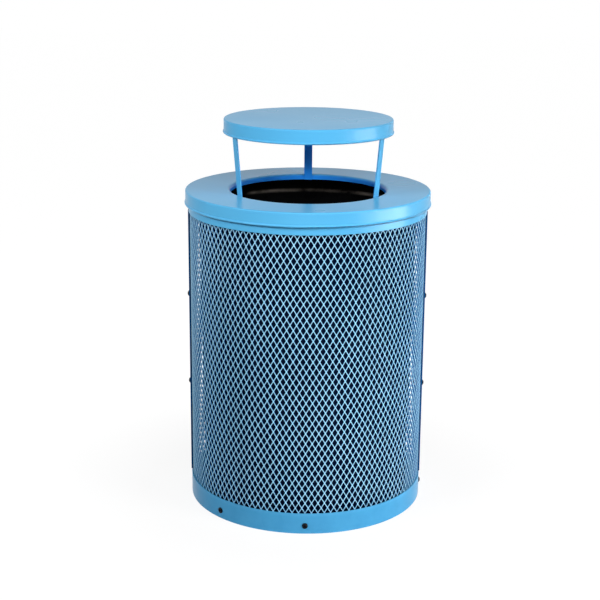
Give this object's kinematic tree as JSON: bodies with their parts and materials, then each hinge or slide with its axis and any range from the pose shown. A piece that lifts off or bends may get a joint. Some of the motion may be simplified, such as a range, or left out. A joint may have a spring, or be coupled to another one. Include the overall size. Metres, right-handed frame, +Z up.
{
  "type": "outdoor trash can",
  "caption": "Round outdoor litter can: diamond-mesh body between plain hoops, lift-off lid with a round throat under a flat rain canopy on legs, and a lift-out liner.",
  "frame": {"origin": "on the floor at the middle of the can, the centre of the bottom hoop's lower edge", "axes": "+Z up along the can's axis, -Y to the front, +X to the right seen from the front"},
  "size_m": [0.591, 0.591, 0.9358],
  "materials": {
    "blue_paint": "glossy powder coat",
    "navy_paint": "dark powder coat",
    "black_plastic": "moulded, slightly glossy",
    "black_steel": "black oxide",
    "zinc_steel": "zinc plated"
  },
  "bodies": {
    "can": {"bottom_hoop": "blue_paint", "top_hoop": "blue_paint", "front_mesh_panel": "blue_paint", "rear_mesh_panel": "blue_paint", "left_seam_bar": "navy_paint", "right_seam_bar": "navy_paint", "left_backing_bar": "blue_paint", "right_backing_bar": "blue_paint", "seam_bolts": "black_steel", "seam_washers": "zinc_steel", "seam_nuts": "zinc_steel", "base_pan": "blue_paint", "base_bolts": "black_steel", "base_washers": "zinc_steel", "base_nuts": "zinc_steel"},
    "liner": {"liner": "black_plastic"},
    "lid": {"lid": "blue_paint", "canopy": "blue_paint", "left_leg": "blue_paint", "right_leg": "blue_paint", "rear_leg": "blue_paint"}
  },
  "joints": [
    {"name": "liner_lift", "type": "slide", "parent": "can", "child": "liner", "axis": [0, 0, 1], "range_m": [0, 0.78]},
    {"name": "lid_lift", "type": "slide", "parent": "liner", "child": "lid", "axis": [0, 0, 1], "range_m": [0, 0.25]}
  ]
}
